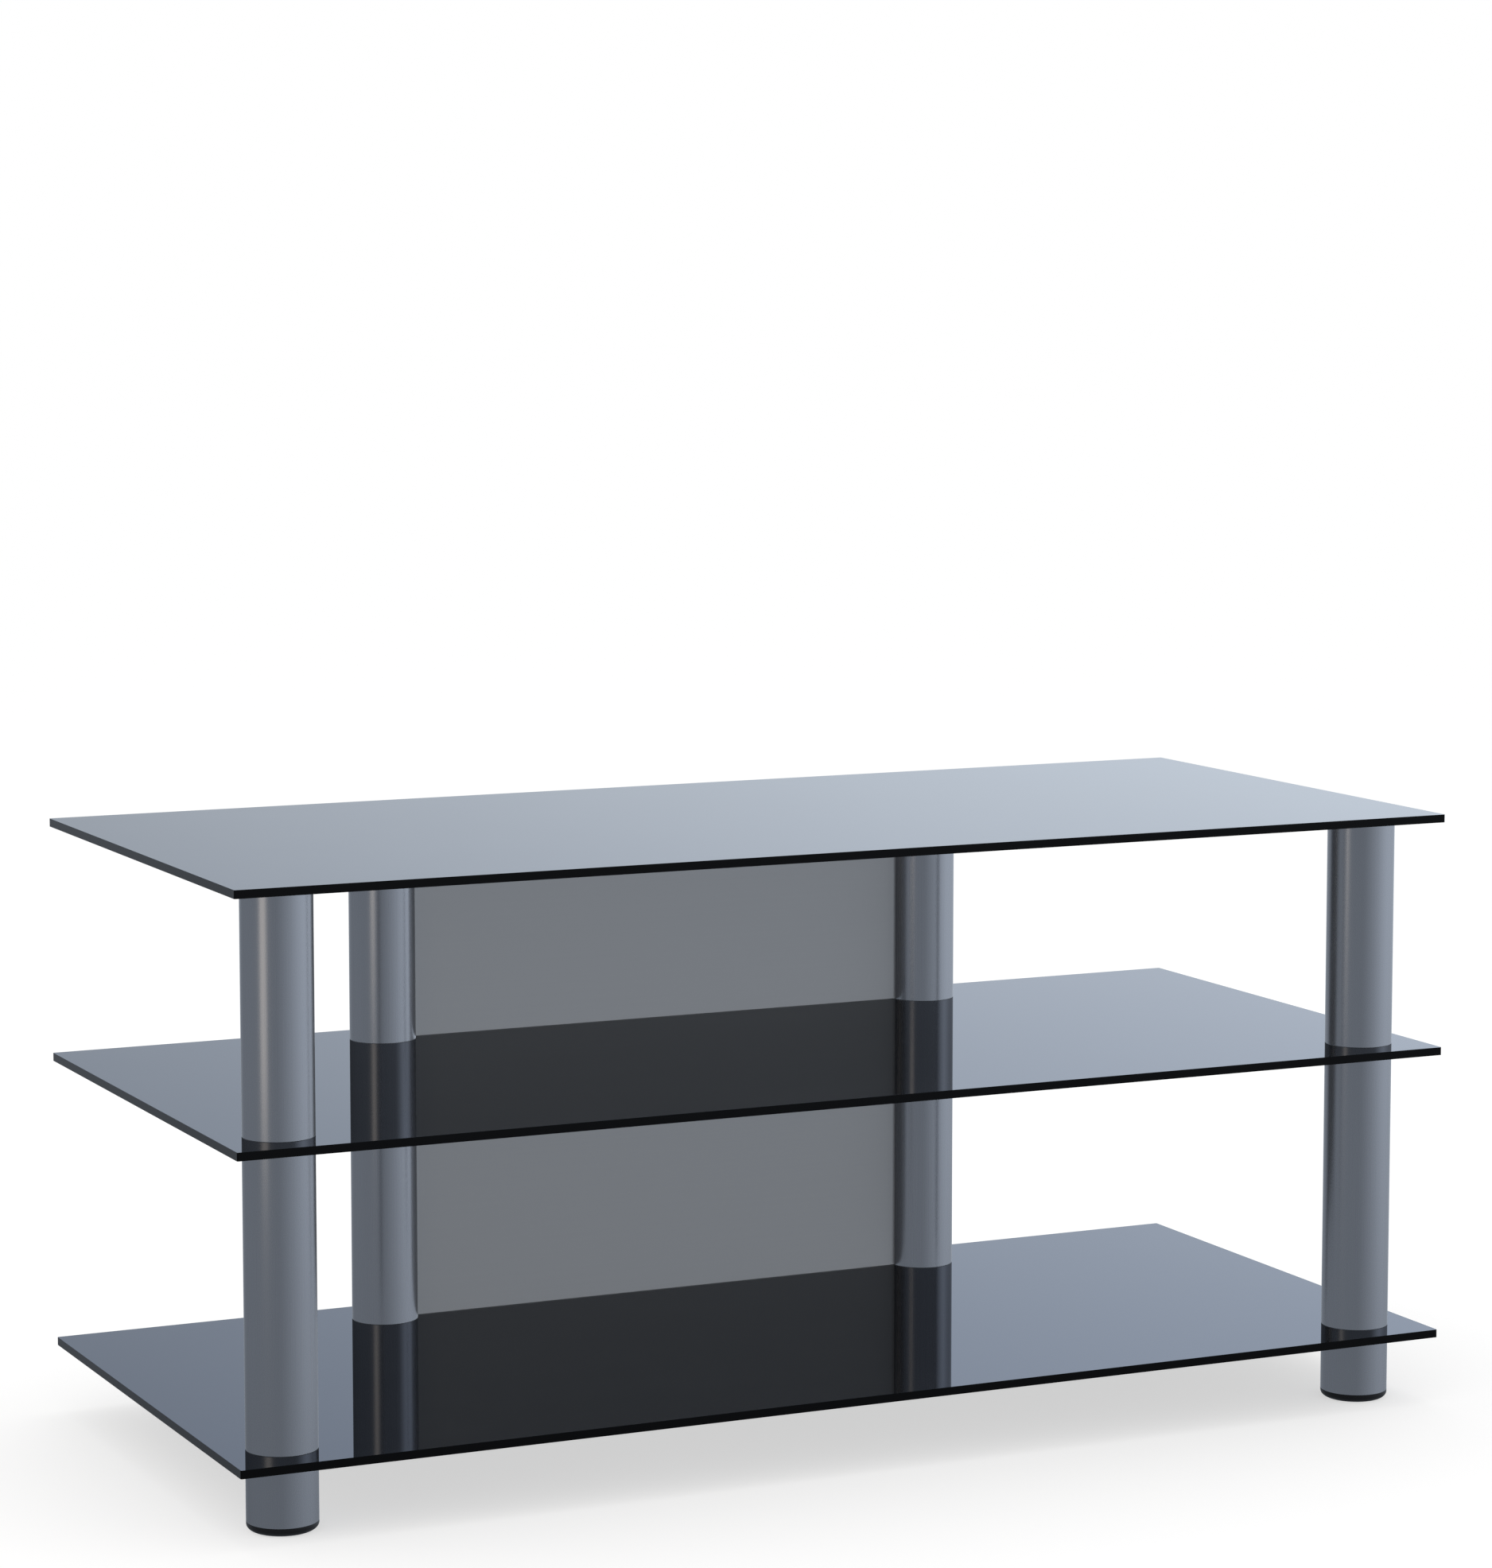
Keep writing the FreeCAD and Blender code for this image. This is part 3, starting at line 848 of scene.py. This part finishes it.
# Azimuths of the studio world's soft lights, the cosines from there between which each one grows, and
# the share of the glow that is lost again at its middle
FILL_AZIMUTH = math.radians(95.0)
FILL_FACING = (-0.40, 0.95)
GLOW_AZIMUTH = math.radians(104.0)
GLOW_FACING = (0.265, 0.76)
GLOW_LOSS_FACING = (0.76, 0.98)
GLOW_LOSS = 0.5

# Heights on the unit sphere between which the studio world changes
FILL_HEIGHTS = (-0.31, -0.13)
GROUND_HEIGHTS = (-0.32, -0.21)
HORIZON_HEIGHTS = (-0.06, 0.06)
TINT_HEIGHTS = (0.12, 0.30)
OVERHEAD_HEIGHTS = (0.35, 0.95)

# Share of its brightness that the ground keeps close by, a switch's levels, and plain white
NEAR_GROUND = 0.62
OFF_TO_ON = (0.0, 1.0)
WHITE = (1.0, 1.0, 1.0, 1.0)


def soft_light(tree, direction, azimuth, facing_range, amount):
    """A wide soft light in the studio world, centred on an azimuth from the front."""
    facing = tree.nodes.new("ShaderNodeVectorMath")
    facing.operation = "DOT_PRODUCT"
    facing.inputs[1].default_value = (math.sin(azimuth), -math.cos(azimuth), 0.0)
    tree.links.new(direction, facing.inputs[0])
    return ramp(tree, facing.outputs["Value"], facing_range, (0.0, amount))


def rise(tree, direction, heights, levels):
    """A level that changes as a direction rises through a range of heights on the unit sphere."""
    parts = tree.nodes.new("ShaderNodeSeparateXYZ")
    tree.links.new(direction, parts.inputs["Vector"])
    return ramp(tree, parts.outputs["Z"], heights, levels)


def ramp(tree, value, source, target):
    """A value mapped from one range to another and kept within it."""
    spread = tree.nodes.new("ShaderNodeMapRange")
    spread.inputs["From Min"].default_value, spread.inputs["From Max"].default_value = source
    spread.inputs["To Min"].default_value, spread.inputs["To Max"].default_value = target
    tree.links.new(value, spread.inputs["Value"])
    return spread.outputs["Result"]


def combine(tree, operation, *values):
    """A sum, difference or product of values."""
    made = tree.nodes.new("ShaderNodeMath")
    made.operation = operation
    for socket, value in zip(made.inputs, values):
        tree.links.new(value, socket)
    return made.outputs["Value"]


def choose_colour(tree, switch, when_off, when_on):
    """A colour between two others, picked by a light path or a level."""
    chosen = tree.nodes.new("ShaderNodeMix")
    chosen.data_type = "RGBA"
    tree.links.new(switch, chosen.inputs["Factor"])
    for socket, value in ((chosen.inputs["A"], when_off), (chosen.inputs["B"], when_on)):
        if isinstance(value, tuple):
            socket.default_value = value
        else:
            tree.links.new(value, socket)
    return chosen.outputs["Result"]


def studio_world(stage):
    """Even light all round, white behind the object, and a pale studio with soft lights in the gloss."""
    world = bpy.data.worlds.new("studio")
    world.use_nodes = True
    tree = world.node_tree
    background = tree.nodes["Background"]
    direction = tree.nodes.new("ShaderNodeTexCoord").outputs["Generated"]
    path = tree.nodes.new("ShaderNodeLightPath")
    fill = soft_light(tree, direction, FILL_AZIMUTH, FILL_FACING, stage.fill)
    fade = rise(tree, direction, FILL_HEIGHTS, OFF_TO_ON)
    plain = rise(tree, direction, GROUND_HEIGHTS, (NEAR_GROUND * stage.ground, stage.ground))
    ground = combine(tree, "MULTIPLY_ADD", fill, fade, plain)
    glow_rise = soft_light(tree, direction, GLOW_AZIMUTH, GLOW_FACING, stage.glow)
    glow_loss = soft_light(tree, direction, GLOW_AZIMUTH, GLOW_LOSS_FACING, GLOW_LOSS * stage.glow)
    glow = combine(tree, "SUBTRACT", glow_rise, glow_loss)
    ceiling = rise(tree, direction, OVERHEAD_HEIGHTS, (stage.room, stage.room + stage.overhead))
    room = combine(tree, "ADD", glow, ceiling)
    above = rise(tree, direction, HORIZON_HEIGHTS, OFF_TO_ON)
    level = tree.nodes.new("ShaderNodeMix")
    tree.links.new(above, level.inputs["Factor"])
    tree.links.new(ground, level.inputs["A"])
    tree.links.new(room, level.inputs["B"])
    high = rise(tree, direction, TINT_HEIGHTS, OFF_TO_ON)
    cool = choose_colour(tree, high, (*stage.tint, 1.0), (*stage.high_tint, 1.0))
    tinted = tree.nodes.new("ShaderNodeVectorMath")
    tinted.operation = "SCALE"
    tree.links.new(cool, tinted.inputs[0])
    tree.links.new(level.outputs["Result"], tinted.inputs["Scale"])
    even = (stage.ambient, stage.ambient, stage.ambient, 1.0)
    lit = choose_colour(tree, path.outputs["Is Glossy Ray"], even, tinted.outputs["Vector"])
    seen = choose_colour(tree, path.outputs["Is Camera Ray"], lit, WHITE)
    tree.links.new(seen, background.inputs["Color"])
    return world


def floor_material(stage):
    """A pale floor that the camera sees as white where no shadow falls, and through from below."""
    material = bpy.data.materials.new("studio_floor")
    material.use_nodes = True
    tree = material.node_tree
    tree.nodes.clear()
    path = tree.nodes.new("ShaderNodeLightPath")
    side = tree.nodes.new("ShaderNodeNewGeometry")
    diffuse = tree.nodes.new("ShaderNodeBsdfDiffuse")
    diffuse.inputs["Color"].default_value = (*stage.floor, 1.0)
    white = tree.nodes.new("ShaderNodeEmission")
    lift = tree.nodes.new("ShaderNodeMath")
    lift.operation = "MULTIPLY"
    lift.inputs[1].default_value = stage.floor_lift
    lifted = tree.nodes.new("ShaderNodeAddShader")
    clear = tree.nodes.new("ShaderNodeBsdfTransparent")
    sided = tree.nodes.new("ShaderNodeMixShader")
    output = tree.nodes.new("ShaderNodeOutputMaterial")
    tree.links.new(path.outputs["Is Camera Ray"], lift.inputs[0])
    tree.links.new(lift.outputs["Value"], white.inputs["Strength"])
    tree.links.new(diffuse.outputs["BSDF"], lifted.inputs[0])
    tree.links.new(white.outputs["Emission"], lifted.inputs[1])
    tree.links.new(side.outputs["Backfacing"], sided.inputs["Fac"])
    tree.links.new(lifted.outputs["Shader"], sided.inputs[1])
    tree.links.new(clear.outputs["BSDF"], sided.inputs[2])
    tree.links.new(sided.outputs["Shader"], output.inputs["Surface"])
    return material


def add_floor(stage):
    """A wide plain floor that the pads stand on."""
    bm = bmesh.new()
    signs = ((-1, -1), (1, -1), (1, 1), (-1, 1))
    bm.faces.new([bm.verts.new((x * FLOOR_HALF, y * FLOOR_HALF, CAD_BOX[0].z)) for x, y in signs])
    mesh = bpy.data.meshes.new("studio_floor")
    bm.to_mesh(mesh)
    bm.free()
    mesh.materials.append(floor_material(stage))
    floor = bpy.data.objects.new("studio_floor", mesh)
    floor.visible_glossy = False
    bpy.context.scene.collection.objects.link(floor)


def add_lamp(name, place, target, size):
    """A soft rectangular lamp that faces a target."""
    lamp = bpy.data.lights.new(name, "AREA")
    lamp.shape = "RECTANGLE"
    lamp.size, lamp.size_y = size
    holder = bpy.data.objects.new(name, lamp)
    holder.location = place
    holder.visible_camera = False
    holder.rotation_euler = (Vector(target) - Vector(place)).to_track_quat("-Z", "Y").to_euler()
    bpy.context.scene.collection.objects.link(holder)
    return holder


def add_camera(scene, stage):
    """The camera at the photograph's place and angle."""
    optics = bpy.data.cameras.new("camera")
    optics.lens = stage.lens
    optics.shift_y = stage.shift
    camera = bpy.data.objects.new("camera", optics)
    camera.location = stage.camera_place
    camera.rotation_euler = Euler((math.pi / 2 - stage.camera_pitch, 0.0, -stage.camera_yaw))
    scene.collection.objects.link(camera)
    scene.camera = camera


# Panel and registration

PIECE_OPERATORS = (
    GLASS_STAND_OT_shelves,
    GLASS_STAND_OT_columns,
    GLASS_STAND_OT_panels,
    GLASS_STAND_OT_feet,
    GLASS_STAND_OT_inner_pieces,
    GLASS_STAND_OT_stage,
)


class GLASS_STAND_PT_sidebar(Panel):
    """The stand's pieces and their settings."""

    bl_idname = "GLASS_STAND_PT_sidebar"
    bl_label = "Glass Stand"
    bl_space_type = "VIEW_3D"
    bl_region_type = "UI"
    bl_category = "Glass Stand"

    def draw(self, context):
        layout = self.layout
        for operator in PIECE_OPERATORS:
            layout.operator(operator.bl_idname)
        scene = context.scene
        for settings in (scene.glass_stand_shape, scene.glass_stand_finish, scene.glass_stand_stage):
            box = layout.box()
            for name in settings.__annotations__:
                box.prop(settings, name)


SETTINGS = (StandShape, StandFinish, StandStage)


def register():
    """Adds the classes and the scene's settings."""
    for settings in SETTINGS:
        bpy.utils.register_class(settings)
    for operator in PIECE_OPERATORS:
        bpy.utils.register_class(operator)
    bpy.utils.register_class(GLASS_STAND_PT_sidebar)
    bpy.types.Scene.glass_stand_shape = PointerProperty(type=StandShape)
    bpy.types.Scene.glass_stand_finish = PointerProperty(type=StandFinish)
    bpy.types.Scene.glass_stand_stage = PointerProperty(type=StandStage)


def unregister():
    """Takes the settings and the classes away again."""
    del bpy.types.Scene.glass_stand_stage
    del bpy.types.Scene.glass_stand_finish
    del bpy.types.Scene.glass_stand_shape
    bpy.utils.unregister_class(GLASS_STAND_PT_sidebar)
    for operator in reversed(PIECE_OPERATORS):
        bpy.utils.unregister_class(operator)
    for settings in reversed(SETTINGS):
        bpy.utils.unregister_class(settings)


def main():
    """Models every piece in order and sets the studio."""
    register()
    bpy.ops.glass_stand.shelves()
    bpy.ops.glass_stand.columns()
    bpy.ops.glass_stand.panels()
    bpy.ops.glass_stand.feet()
    bpy.ops.glass_stand.inner_pieces()
    bpy.ops.glass_stand.stage()


if __name__ == "__main__":
    main()
